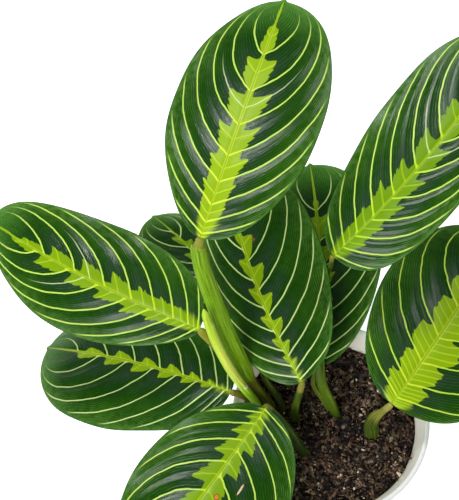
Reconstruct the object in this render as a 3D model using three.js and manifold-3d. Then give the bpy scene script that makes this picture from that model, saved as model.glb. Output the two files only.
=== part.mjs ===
// A potted prayer plant: nine arching leaves on ribbed stalks, one leaf still rolled, in a round nursery pot.
// Millimetres, +Z up, the origin at the centre of the pot's underside. +Y points to the back of the plant.
import * as THREE from "three";
import { mergeVertices } from "three/addons/utils/BufferGeometryUtils.js";
import Module from "manifold-3d";

const wasm = await Module();
wasm.setup();

// ---------------------------------------------------------------- driving dimensions

const GAP = 0.3;

const POT_HEIGHT = 90;
const RIM_RADIUS = 50;
const RIM_INNER_RADIUS = 47.4;
const RIM_BAND = 6;
const WALL = 1.5;
const FLOOR = 1.7;
const BASE_RADIUS = 35.5;
const POT_SIDES = 72;
const DRAIN_RADIUS = 3.5;
const DRAIN_CIRCLE = 25;
const DRAIN_COUNT = 6;

const SOIL_LEVEL = 76.5;
const SOIL_RINGS = 11;
const SOIL_SIDES = 44;

const BLADE_THICKNESS = 0.8;
const KEEL_DEPTH = 1.3;
const VEIN_SPAN = 9.6;
const TIP_SHARE = 0.015;
const TIP_SLOPE = 140;
const PLEAT = 0.35;
const MARGIN_WAVE = 1.1;

const STEM_SIDES = 10;
const STEM_STEPS = 3;

// ---------------------------------------------------------------- colours

const DEEP_GREEN = { color: 0x23452a, roughness: 0.38, metalness: 0 };
const STALK_GREEN = { color: 0x6d9a1e, roughness: 0.45, metalness: 0 };
const LIME = { color: 0xa9cf2c, roughness: 0.42, metalness: 0 };
const SOIL_BROWN = { color: 0x33241c, roughness: 0.95, metalness: 0 };
const POT_WHITE = { color: 0xeef0ee, roughness: 0.35, metalness: 0 };

// ---------------------------------------------------------------- the plant's table

// Each leaf: where its blade joins the stalk, the compass heading of its midrib (degrees, 0 = +X), how far it
// climbs (pitch) and leans to its right (roll), its length, how far the midrib arches down and bends to the
// right by the tip (degrees), how much its halves fall away (dome) and the fullness of the left and right
// halves from base to tip. `wave` shifts the ripple of its margins.
const LEAVES = [
  {
    name: "top", base: [-64, 51, 188], heading: 71, pitch: 21, roll: -7, length: 124, arch: 30, bend: -6,
    dome: 0.12, wave: 0.1, left: [23.5, 35, 36.5, 37.5, 32], right: [35.5, 32.5, 39, 32.5, 42],
  },
  {
    name: "upper_left", base: [-65.5, 30, 132], heading: 159, pitch: 6, roll: -16, length: 128, arch: 29,
    bend: 12.5, dome: 0.13, wave: 0.45, left: [16, 29, 30, 31.5, 18.5], right: [42, 29, 33, 22, 35.5],
  },
  {
    name: "lower_left", base: [-50.5, 8.5, 102], heading: 156.5, pitch: -9, roll: 7, length: 120, arch: 32,
    bend: 0.5, dome: 0.11, wave: 0.3, left: [42, 33.5, 36.5, 42, 41.5], right: [34, 36, 30, 32, 41],
  },
  {
    name: "front", base: [-34, -2.5, 112], heading: 237.5, pitch: 13, roll: 1, length: 106, arch: 20,
    bend: 8.5, dome: 0.12, wave: 0.7, left: [38, 35.5, 40.5, 33.5, 35.5], right: [28, 35, 36.5, 32.5, 29],
  },
  {
    name: "centre", base: [-16.5, 9, 116], heading: 119, pitch: 9, roll: -18, length: 122, arch: 29,
    bend: 17.5, dome: 0.13, wave: 0.9, left: [24.5, 25.5, 18.5, 26.5, 22.5], right: [42.5, 28.5, 45, 30.5, 54],
  },
  {
    name: "back_left", base: [-41, 41.5, 104], heading: 118, pitch: 3, roll: 10, length: 92, arch: 34,
    bend: -9, dome: 0.12, wave: 0.2, left: [26, 27, 28, 29, 30], right: [27, 27, 27, 27, 26],
  },
  {
    name: "back", base: [-6.5, 24, 96], heading: 84, pitch: 9, roll: -12, length: 120, arch: 17,
    bend: -15, dome: 0.11, wave: 0.55, left: [27, 29, 31, 33, 35], right: [25, 30, 33, 36, 42],
  },
  {
    name: "upper_right", base: [-1.5, 62.5, 146], heading: 37, pitch: 26, roll: 0, length: 138, arch: 14,
    bend: -21, dome: 0.11, wave: 0.8, left: [32, 31, 32, 37, 43], right: [40, 26, 22, 25, 31],
  },
  {
    name: "lower_right", base: [28, 0.5, 108], heading: 52, pitch: 5, roll: 9, length: 123, arch: 29,
    bend: 0, dome: 0.12, wave: 0.35, left: [41, 37, 39, 43, 46], right: [52, 45, 41, 40, 40],
  },
];

// Each stalk: the points its centre line runs through, from its foot in the soil to the leaf, the half width
// at those points, and how deep it is for its width.
const STALKS = [
  {
    name: "top", depth: 0.7, width: [2.1, 2.3, 2.6, 3, 4.5, 4.5, 4.3, 3.9, 3.6, 3.4, 2, 1.9],
    through: [
      [-28, 8.5, 65], [-29, 8, 77], [-37.6, 12, 96], [-41.3, 14.5, 104], [-44.2, 16.6, 110.5],
      [-49.4, 22.8, 125], [-54.5, 29.5, 140], [-62.6, 42.5, 168], [-64.8, 48, 181], [-64.8, 49, 183.4],
      [-64.6, 49.5, 184.6], [-64.3, 50.3, 186.8],
    ],
  },
  {
    name: "upper_left", depth: 0.9, width: [2, 2.2, 2.2, 2.2, 2.2, 2.1, 2.1],
    through: [
      [-34, 15.5, 65], [-35.5, 16, 77], [-38, 16.5, 88], [-44.5, 18.5, 99], [-51.5, 22, 110], [-59, 26.5, 122],
      [-64.4, 29.2, 130.8],
    ],
  },
  {
    name: "lower_left", depth: 0.9, width: [2, 2.1, 1.9, 1.8, 1.7],
    through: [
      [-37, 10.5, 65], [-38, 10.5, 77], [-42, 9.6, 88], [-46.2, 9.2, 95.5], [-49.6, 8.6, 100.3],
    ],
  },
  {
    name: "front", depth: 0.9, width: [2.3, 2.4, 2.3, 2.2, 2.1, 1.9],
    through: [
      [-11, -18.5, 65], [-12.5, -17.5, 77], [-16, -14.5, 84], [-21, -9.5, 92], [-27, -5, 101],
      [-32.8, -2, 110],
    ],
  },
  {
    name: "centre", depth: 0.9, width: [2.1, 2.3, 2.1, 1.7, 1.6],
    through: [[-16.5, 2, 65], [-17, 2, 77], [-18, 3, 90], [-17.5, 4.5, 104], [-16.3, 8, 114.6]],
  },
  {
    name: "back_left", depth: 0.9, width: [1.7, 1.8, 1.7, 1.6, 1.6, 1.6],
    through: [
      [-22, 7, 65], [-23.5, 8, 77], [-28, 14, 83], [-33, 19.5, 89], [-37, 30, 97], [-40.4, 40.3, 103],
    ],
  },
  {
    name: "back", depth: 0.9, width: [1, 1, 1, 1.1, 1.2, 1.3],
    through: [
      [4.2, 1.6, 65], [1.8, 3.9, 77], [-0.9, 6.8, 81], [-4, 10.4, 85], [-8.2, 16.3, 89.5], [-6.8, 23, 94.6],
    ],
  },
  {
    name: "upper_right", depth: 0.8, width: [1.7, 1.8, 2.3, 2.6, 2.8, 2.4, 2, 1.6, 1.3, 1.2, 1.2],
    through: [
      [8.5, -1, 65], [5.1, 2.1, 77], [1.2, 6.3, 87], [-4.8, 15.2, 97], [-6.5, 31, 104], [-8.9, 48.4, 105.2],
      [-5.3, 58.9, 108], [-2.2, 66.1, 111], [-0.6, 68.2, 117.5], [-0.4, 66.6, 127], [-1.9, 62.5, 144],
    ],
  },
  {
    name: "lower_right", depth: 0.9, width: [3.4, 3.8, 3.7, 3, 1.7, 1.6],
    through: [
      [22.3, -8.5, 65], [22, -6.3, 77], [21.2, -3.2, 84], [22, -1.6, 92], [24.4, -1, 100],
      [27, -0.1, 106.8],
    ],
  },
];

// The rolled young leaf stands close against the tallest stalk.
const ROLLED_LEAF = {
  name: "new_leaf", depth: 0.9, width: [1.7, 1.9, 2, 2.2, 2.4, 2.35, 2.25, 1.5],
  through: [
    [-33, 4, 65], [-34, 4, 77], [-37.7, 6, 91], [-44.6, 9, 108], [-50.7, 12.5, 123], [-56.8, 19, 138],
    [-60.8, 25, 151], [-63, 28.5, 161.5],
  ],
};

// ---------------------------------------------------------------- geometry helpers

const radians = THREE.MathUtils.degToRad;

function surface(points, triangles) {
  const geometry = new THREE.BufferGeometry();
  geometry.setAttribute("position", new THREE.Float32BufferAttribute(points.flatMap((p) => [p.x, p.y, p.z]), 3));
  geometry.setIndex(triangles);
  return geometry;
}

function toSolid(geometry) {
  const bare = geometry.clone();
  bare.deleteAttribute("normal");
  bare.deleteAttribute("uv");
  const merged = mergeVertices(bare, 1e-3);
  const vertProperties = new Float32Array(merged.attributes.position.array);
  const triVerts = new Uint32Array(merged.index.array);
  return new wasm.Manifold(new wasm.Mesh({ numProp: 3, vertProperties, triVerts }));
}

function toGeometry(solid) {
  const mesh = solid.getMesh();
  const geometry = new THREE.BufferGeometry();
  geometry.setAttribute("position", new THREE.BufferAttribute(mesh.vertProperties, mesh.numProp));
  geometry.setIndex(new THREE.BufferAttribute(mesh.triVerts, 1));
  return geometry;
}

function node(name, geometry, look) {
  const mesh = new THREE.Mesh(geometry, new THREE.MeshStandardMaterial(look));
  mesh.name = name;
  return mesh;
}

// ---------------------------------------------------------------- leaf blades

// Half width of a blade at the share t of its length: a round-ended oval scaled by a smooth curve through the
// five fullness values, with a short pointed nub at the tip.
function halfWidth(t, fullness) {
  const s = Math.min(t / (1 - TIP_SHARE), 1);
  const weights = [1, 4, 6, 4, 1];
  const full = fullness.reduce((sum, f, i) => sum + f * weights[i] * s ** i * (1 - s) ** (4 - i), 0);
  const point = t > 1 - 2 * TIP_SHARE ? TIP_SLOPE * (1 - t) : 0;
  return Math.max(Math.sqrt(4 * s * (1 - s)) * full, point);
}

// The blade's own directions at its base: along the midrib, to the right of it and out of its upper face.
function bladeFrame(leaf) {
  const az = radians(leaf.heading);
  const pitch = radians(leaf.pitch);
  const roll = radians(leaf.roll);
  const along = new THREE.Vector3(Math.cos(az) * Math.cos(pitch), Math.sin(az) * Math.cos(pitch), Math.sin(pitch));
  const level = new THREE.Vector3(Math.sin(az), -Math.cos(az), 0);
  const face = new THREE.Vector3().crossVectors(level, along);
  const right = level.clone().multiplyScalar(Math.cos(roll)).addScaledVector(face, -Math.sin(roll));
  const up = face.multiplyScalar(Math.cos(roll)).addScaledVector(level, Math.sin(roll));
  return { along, right, up };
}

// A side vein leaves the midrib at the share u of the length and curves towards the tip: the share of the
// length it has reached when it is v of the way out to the margin.
function veinReach(u, v) {
  const drift = (1 - u) * (0.58 + 0.3 * u) * (1 - Math.exp(-u / 0.09));
  return u + (drift * (v + v ** 3)) / 2;
}

// A point of the upper face, k counting the side veins from base to tip and v running from -1 at the left
// margin to 1 at the right one, with the direction out of the face there.
function bladePoint(leaf, k, v) {
  const { along, right, up } = bladeFrame(leaf);
  const out = Math.abs(v);
  const t = veinReach((k / VEIN_SPAN) ** 1.6, out);
  const fall = radians(leaf.arch);
  const turn = radians(leaf.bend);
  const point = new THREE.Vector3(...leaf.base);
  point.addScaledVector(along, leaf.length * t);
  point.addScaledVector(up, (-leaf.length * fall * t * t) / 2);
  point.addScaledVector(right, (leaf.length * turn * t * t) / 2);
  const tangent = along.clone().addScaledVector(up, -fall * t).addScaledVector(right, turn * t).normalize();
  const across = right.clone().addScaledVector(tangent, -right.dot(tangent)).normalize();
  const normal = new THREE.Vector3().crossVectors(across, tangent);
  const reach = v * halfWidth(t, v < 0 ? leaf.left : leaf.right);
  const droop = (-leaf.dome * reach * reach) / (0.3 * leaf.length);
  const phase = 2 * Math.PI * (2.4 * t + leaf.wave + (v < 0 ? 0.37 : 0));
  const ripple = MARGIN_WAVE * out ** 3 * Math.sin(Math.PI * t) * Math.sin(phase);
  const pleat = -PLEAT * Math.cos(2 * Math.PI * k) * Math.sin(Math.PI * out) * Math.min(1, 3 * (1 - t));
  point.addScaledVector(across, reach).addScaledVector(normal, droop + ripple + pleat);
  return { point, normal };
}

// Extra depth of the midrib below the blade.
function keel(k, v) {
  const u = k / VEIN_SPAN;
  const profile = Math.max(0, 1 - Math.abs(v) / 0.06);
  return KEEL_DEPTH * profile * Math.min(1, 6 * u) * (1 - u) ** 0.5;
}

// The blade as one closed body: a grid whose rows follow the side veins, the same triangles on both faces.
function bladeGeometry(leaf) {
  const rows = [0, 0.25, 0.5];
  for (let k = 1; k <= 9; k += 0.5) rows.push(k);
  rows.push(VEIN_SPAN);
  const half = [0.06, 0.2, 0.42, 0.65, 0.86, 1];
  const columns = [...half.map((v) => -v).reverse(), 0, ...half];
  const points = [];
  const index = rows.map((k, i) => {
    const pole = i === 0 || i === rows.length - 1;
    return columns.map((v, j) => {
      if (pole && j > 0) return points.length - 2;
      const { point, normal } = bladePoint(leaf, k, pole ? 0 : v);
      const depth = BLADE_THICKNESS + (pole ? 0 : keel(k, v));
      points.push(point, point.clone().addScaledVector(normal, -depth));
      return points.length - 2;
    });
  });
  const triangles = [];
  const face = (a, b, c) => {
    if (a === b || b === c || a === c) return;
    triangles.push(a, b, c, a + 1, c + 1, b + 1);
  };
  const last = columns.length - 1;
  for (let i = 0; i + 1 < rows.length; i++) {
    for (let j = 0; j < last; j++) {
      face(index[i][j], index[i][j + 1], index[i + 1][j]);
      face(index[i][j + 1], index[i + 1][j + 1], index[i + 1][j]);
    }
    const [l0, l1, r0, r1] = [index[i][0], index[i + 1][0], index[i][last], index[i + 1][last]];
    triangles.push(r0 + 1, r1 + 1, r0, r0, r1 + 1, r1);
    triangles.push(l0 + 1, l0, l1 + 1, l0, l1, l1 + 1);
  }
  return surface(points, triangles);
}

// ---------------------------------------------------------------- stalks

// A tapering stalk swept along a smooth curve through its points, oval in section and closed at both ends.
// `swell` widens it all round.
function stalkGeometry(stalk, swell = 0) {
  const path = stalk.through.map((p) => new THREE.Vector3(...p));
  const curve = new THREE.CatmullRomCurve3(path, false, "catmullrom", 0.5);
  const spans = path.length - 1;
  const reference = new THREE.Vector3(0, -0.44, 0.9);
  const points = [];
  const count = spans * STEM_STEPS;
  for (let i = 0; i <= count; i++) {
    const s = i / count;
    const centre = curve.getPoint(s);
    const along = curve.getTangent(s);
    const side = new THREE.Vector3().crossVectors(along, reference).normalize();
    const front = new THREE.Vector3().crossVectors(side, along);
    if (i === 0) centre.addScaledVector(along, -swell);
    if (i === 0) points.push(centre.clone());
    const at = Math.min(Math.floor(s * spans), spans - 1);
    const blend = s * spans - at;
    const width = stalk.width[at] * (1 - blend) + stalk.width[at + 1] * blend;
    for (let j = 0; j < STEM_SIDES; j++) {
      const angle = (2 * Math.PI * j) / STEM_SIDES;
      const rim = centre.clone();
      rim.addScaledVector(side, (width + swell) * Math.cos(angle));
      rim.addScaledVector(front, (width * stalk.depth + swell) * Math.sin(angle));
      points.push(rim);
    }
  }
  const foot = 0;
  const head = points.push(curve.getPoint(1)) - 1;
  const triangles = [];
  const top = 1 + count * STEM_SIDES;
  for (let j = 0; j < STEM_SIDES; j++) {
    const next = (j + 1) % STEM_SIDES;
    for (let i = 0; i < count; i++) {
      const a = 1 + i * STEM_SIDES + j;
      const b = 1 + i * STEM_SIDES + next;
      triangles.push(a, a + STEM_SIDES, b, b, a + STEM_SIDES, b + STEM_SIDES);
    }
    triangles.push(foot, 1 + j, 1 + next, head, top + next, top + j);
  }
  return surface(points, triangles);
}

// ---------------------------------------------------------------- pot

const wallRadius = (z) => BASE_RADIUS + ((RIM_RADIUS - 2.4 - BASE_RADIUS) * z) / (POT_HEIGHT - RIM_BAND);
const innerRadius = (z) => Math.min(wallRadius(z) - WALL, RIM_INNER_RADIUS);

function potGeometry() {
  const band = POT_HEIGHT - RIM_BAND;
  const profile = [
    [0, 0], [BASE_RADIUS - 1, 0], [BASE_RADIUS, 1], [wallRadius(band), band], [RIM_RADIUS - 0.3, band + 0.2],
    [RIM_RADIUS, band + 0.8], [RIM_RADIUS, POT_HEIGHT - 1], [RIM_RADIUS - 0.9, POT_HEIGHT],
    [RIM_INNER_RADIUS + 0.6, POT_HEIGHT], [RIM_INNER_RADIUS, POT_HEIGHT - 0.8], [innerRadius(band), band],
    [innerRadius(FLOOR + 2), FLOOR + 2], [innerRadius(FLOOR) - 2, FLOOR], [0, FLOOR],
  ].map(([r, z]) => new THREE.Vector2(r, z));
  const turned = new THREE.LatheGeometry(profile, POT_SIDES).rotateX(Math.PI / 2);
  let pot = toSolid(turned);
  for (let i = 0; i < DRAIN_COUNT; i++) {
    const angle = (2 * Math.PI * (i + 0.5)) / DRAIN_COUNT;
    const hole = new THREE.CylinderGeometry(DRAIN_RADIUS, DRAIN_RADIUS, 3 * FLOOR, 16).rotateX(Math.PI / 2);
    hole.translate(DRAIN_CIRCLE * Math.cos(angle), DRAIN_CIRCLE * Math.sin(angle), FLOOR / 2);
    pot = pot.subtract(toSolid(hole));
  }
  return toGeometry(pot);
}

// ---------------------------------------------------------------- soil

// Height of the soil: it sinks towards the back and is heaped in low lumps.
function soilHeight(x, y) {
  const sink = 5 * THREE.MathUtils.smoothstep(y, 5, 45);
  const lumps = 0.9 * Math.sin(x / 5.1 + 0.7) * Math.cos(y / 4.3) + 0.6 * Math.sin((x + 2 * y) / 6.7 + 2);
  return SOIL_LEVEL - sink + lumps;
}

function soilGeometry() {
  const rim = innerRadius(SOIL_LEVEL - 6) - GAP;
  const points = [new THREE.Vector3(0, 0, soilHeight(0, 0))];
  const ringAt = (radius, height) => {
    const first = points.length;
    for (let j = 0; j < SOIL_SIDES; j++) {
      const angle = (2 * Math.PI * j) / SOIL_SIDES;
      const [x, y] = [radius * Math.cos(angle), radius * Math.sin(angle)];
      points.push(new THREE.Vector3(x, y, height(x, y)));
    }
    return first;
  };
  const rings = [];
  for (let i = 1; i <= SOIL_RINGS; i++) rings.push(ringAt((rim * i) / SOIL_RINGS, soilHeight));
  rings.push(ringAt(innerRadius(FLOOR + 2) - GAP, () => FLOOR + 2));
  rings.push(ringAt(innerRadius(FLOOR) - 2 - GAP, () => FLOOR + GAP));
  const bottom = points.push(new THREE.Vector3(0, 0, FLOOR + GAP)) - 1;
  const triangles = [];
  for (let j = 0; j < SOIL_SIDES; j++) {
    const next = (j + 1) % SOIL_SIDES;
    triangles.push(0, rings[0] + j, rings[0] + next);
    for (let i = 0; i + 1 < rings.length; i++) {
      const [a, b] = [rings[i], rings[i + 1]];
      triangles.push(a + j, b + j, a + next, a + next, b + j, b + next);
    }
    const low = rings[rings.length - 1];
    triangles.push(bottom, low + next, low + j);
  }
  let soil = toSolid(surface(points, triangles));
  for (const stalk of [...STALKS, ROLLED_LEAF]) soil = soil.subtract(toSolid(stalkGeometry(stalk, GAP)));
  return toGeometry(soil);
}

// ---------------------------------------------------------------- assembly

const plant = new THREE.Group();
plant.add(node("pot", potGeometry(), POT_WHITE));
plant.add(node("soil", soilGeometry(), SOIL_BROWN));
for (const leaf of LEAVES) plant.add(node("leaf_" + leaf.name, bladeGeometry(leaf), DEEP_GREEN));
for (const stalk of STALKS) plant.add(node("stalk_" + stalk.name, stalkGeometry(stalk), STALK_GREEN));
plant.add(node(ROLLED_LEAF.name, stalkGeometry(ROLLED_LEAF), LIME));

export default plant;
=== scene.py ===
"""A potted prayer plant: nine patterned leaves on ribbed stalks and one rolled leaf, in a white nursery pot.

The tables and helper formulas are in millimetres; `piece` turns them to metres when it makes a mesh.
"""

import math

import bpy
import numpy as np
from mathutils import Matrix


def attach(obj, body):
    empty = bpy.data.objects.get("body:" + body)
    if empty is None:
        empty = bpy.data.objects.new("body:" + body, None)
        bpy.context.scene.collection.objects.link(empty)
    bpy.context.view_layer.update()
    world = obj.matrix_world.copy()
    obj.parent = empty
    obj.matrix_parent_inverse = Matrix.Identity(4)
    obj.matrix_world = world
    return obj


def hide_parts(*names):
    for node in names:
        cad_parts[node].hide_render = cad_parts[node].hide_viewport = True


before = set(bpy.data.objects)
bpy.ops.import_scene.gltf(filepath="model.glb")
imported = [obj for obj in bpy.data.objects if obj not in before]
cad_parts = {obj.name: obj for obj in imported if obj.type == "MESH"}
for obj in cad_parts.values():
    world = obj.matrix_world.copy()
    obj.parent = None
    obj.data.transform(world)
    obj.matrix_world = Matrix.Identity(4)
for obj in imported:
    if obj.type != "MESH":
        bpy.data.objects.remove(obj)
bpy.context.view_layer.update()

MM = 0.001

# ---------------------------------------------------------------- driving dimensions, in millimetres

POT_HEIGHT = 90.0
RIM_RADIUS = 50.0
RIM_INNER_RADIUS = 47.4
RIM_BAND = 6.0
RIM_STEP = 2.4
WALL = 1.5
FLOOR = 1.7
BASE_RADIUS = 35.5
DRAIN_RADIUS = 3.5
DRAIN_CIRCLE = 25.0
DRAIN_COUNT = 6
POT_SIDES = 240

SOIL_LEVEL = 76.5
SOIL_RINGS = 150
SOIL_SIDES = 360
GRAIN_REACH = 43.6
FIBRE_REACH = 41.0
FIBRE_END = 43.5
FIBRE_WIDTH = 0.13

BLADE_THICKNESS = 0.55
BLADE_ROWS = 201
BLADE_COLUMNS = 41
TIP_SHARE = 0.015
TIP_SLOPE = 140.0
PLEAT = 0.35
FINE_PLEAT = 0.07
MARGIN_WAVE = 1.1
MARGIN_RIPPLES = 2.4
MARGIN_SHIFT = 0.37
CREASE = 0.35
CREASE_WIDTH = 0.035
KEEL_DEPTH = 1.3
KEEL_WIDTH = 0.06
VEIN_POWER = 1.8
WIDEST_GAP = 30.0

STALK_STEPS = 14
STALK_SIDES = 64
ROLL_SIDES = 96
FLOOR_REACH = 4000.0

# One lobe of the lime band, from the side vein that it starts at (0) to the next (1), as a share of its
# height: a fin with a toothed back, a shorter cup or a broad slab. They fall off so that their far edge
# stands square to the midrib.
FIN = [(0, 0.34), (0.03, 0.56), (0.09, 0.76), (0.16, 0.80), (0.21, 0.70), (0.31, 0.92), (0.37, 0.82),
       (0.47, 0.97), (0.55, 1), (0.60, 0.88), (0.66, 0.62), (0.73, 0.38), (0.81, 0.18), (1, 0.06)]
CUP = [(0, 0.04), (0.06, 0.2), (0.14, 0.5), (0.22, 0.74), (0.3, 0.8), (0.4, 0.96), (0.48, 1), (0.56, 0.9),
       (0.62, 0.66), (0.68, 0.36), (0.8, 0.12), (1, 0.03)]
SLAB = [(0, 0.6), (0.07, 0.86), (0.15, 1), (0.4, 0.94), (0.62, 1), (0.74, 0.92), (0.82, 0.7), (0.9, 0.56),
        (1, 0.5)]

# The forms of the band: its lobe, the side veins' half breadth in millimetres, the number of lines in a
# lobe, whether a thin pale line runs out of the middle of the seventh lobe, the side veins' colour, and how
# far from the base the band's edge is soft. Then come the lobes' height and the width that the band never
# falls below, along the leaf (0 base, 1 ten veins on), as shares of the way from the midrib to the margin.
BROAD = dict(lobe=FIN, breadth=0.53, veinlets=2, stray=1, vein="c4e466", soft=0.13,
             height=[(0, 0.36), (0.2, 0.31), (0.4, 0.29), (0.55, 0.28), (0.7, 0.26), (0.78, 0.22),
                     (0.84, 0.12), (0.9, 0.07), (1, 0)],
             least=[(0, 0.56), (0.05, 0.38), (0.1, 0.31), (0.2, 0.27), (0.3, 0.24), (0.4, 0.21), (0.49, 0.16),
                    (0.59, 0.09), (0.69, 0.05), (0.79, 0.02), (1, 0.01)])
FULL = dict(lobe=SLAB, breadth=0.58, veinlets=4, stray=0, vein="c2e258", soft=0.07,
            height=[(0, 0.40), (0.2, 0.36), (0.36, 0.33), (0.42, 0.28), (0.5, 0.27), (0.56, 0.24), (1, 0.1)],
            least=[(0, 0.56), (0.1, 0.34), (0.2, 0.24), (0.3, 0.19), (0.4, 0.14), (0.48, 0.1), (0.54, 0.05),
                   (1, 0.04)])
NARROW = dict(lobe=CUP, breadth=0.5, veinlets=2, stray=0, vein="cfe692", soft=0.15,
              height=[(0, 0.14), (0.2, 0.17), (0.35, 0.20), (0.5, 0.22), (0.6, 0.23), (0.78, 0.17), (0.84, 0),
                      (1, 0)],
              least=[(0, 0.5), (0.04, 0.2), (0.1, 0.09), (0.2, 0.06), (0.4, 0.04), (0.6, 0.03), (0.8, 0.025),
                     (0.86, 0.015), (1, 0.01)])

# Each leaf: where its blade joins the stalk, the compass heading, pitch and roll of its midrib, its length,
# how far the midrib arches and bends (degrees), how much its halves fall away, the phase of its margins'
# ripple and the fullness of its two halves from base to tip. Then the form of its lime band, how wide and how
# bright (`lime`, 0 to 1) that is, and its side veins: how many fill the midrib, and by how much of a step the
# left and the right half's are shifted. `fill` is the share of the band's least width that is kept, and
# `marks` are small scars: share of the length, way to the margin, size along and across, colour.
LEAVES = {
    "top": dict(base=(-64, 51, 188), heading=71, pitch=21, roll=-7, length=124, arch=30, bend=-6, dome=0.12,
                wave=0.1, left=(23.5, 35, 36.5, 37.5, 32), right=(35.5, 32.5, 39, 32.5, 42),
                band=BROAD, spread=1.0, lime=1, veins=(9.53, 0, 0)),
    "upper_left": dict(base=(-65.5, 30, 132), heading=159, pitch=6, roll=-16, length=128, arch=29, bend=12.5,
                       dome=0.13, wave=0.45, left=(16, 29, 30, 31.5, 18.5), right=(42, 29, 33, 22, 35.5),
                       band=BROAD, spread=0.98, lime=0.4, veins=(9.53, 0.05, 0.25)),
    "lower_left": dict(base=(-50.5, 8.5, 102), heading=156.5, pitch=-9, roll=7, length=120, arch=32, bend=0.5,
                       dome=0.11, wave=0.3, left=(42, 33.5, 36.5, 42, 41.5), right=(34, 36, 30, 32, 41),
                       band=NARROW, spread=0.64, lime=1, veins=(9.1, -0.25, 0)),
    "front": dict(base=(-34, -2.5, 112), heading=237.5, pitch=13, roll=1, length=106, arch=20, bend=8.5,
                  dome=0.12, wave=0.7, left=(38, 35.5, 40.5, 33.5, 35.5), right=(28, 35, 36.5, 32.5, 29),
                  band=BROAD, spread=0.95, lime=0.35, fill=0.5, veins=(7.8, 0.45, -0.1),
                  marks=((0.385, -0.34, 0.026, 0.013, "d9c9a4"), (0.465, -0.15, 0.012, 0.03, "d8832c"))),
    "centre": dict(base=(-16.5, 9, 116), heading=119, pitch=9, roll=-18, length=122, arch=29, bend=17.5,
                   dome=0.13, wave=0.9, left=(24.5, 25.5, 18.5, 26.5, 22.5), right=(42.5, 28.5, 45, 30.5, 54),
                   band=NARROW, spread=0.82, lime=0.8, veins=(9.53, -0.2, 0.15),
                   marks=((0.635, 0.17, 0.008, 0.02, "7c5c30"),)),
    "back_left": dict(base=(-41, 41.5, 104), heading=118, pitch=3, roll=10, length=92, arch=34, bend=-9,
                      dome=0.12, wave=0.2, left=(26, 27, 28, 29, 30), right=(27, 27, 27, 27, 26),
                      band=NARROW, spread=0.9, lime=0.3, veins=(9.5, -0.4, 0)),
    "back": dict(base=(-6.5, 24, 96), heading=84, pitch=9, roll=-12, length=120, arch=17, bend=-15, dome=0.11,
                 wave=0.55, left=(27, 29, 31, 33, 35), right=(25, 30, 33, 36, 42),
                 band=NARROW, spread=1.2, lime=0.7, veins=(9.5, 0, 0)),
    "upper_right": dict(base=(-1.5, 62.5, 146), heading=37, pitch=26, roll=0, length=138, arch=14, bend=-21,
                        dome=0.11, wave=0.8, left=(32, 31, 32, 37, 43), right=(40, 26, 22, 25, 31),
                        band=BROAD, spread=1.0, lime=0, veins=(9.53, 0.15, 0.3)),
    "lower_right": dict(base=(28, 0.5, 108), heading=52, pitch=5, roll=9, length=123, arch=29, bend=0,
                        dome=0.12, wave=0.35, left=(41, 37, 39, 43, 46), right=(52, 45, 41, 40, 40),
                        band=FULL, spread=1.0, lime=0.75, veins=(7.4, -0.2, -0.15)),
}

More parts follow.
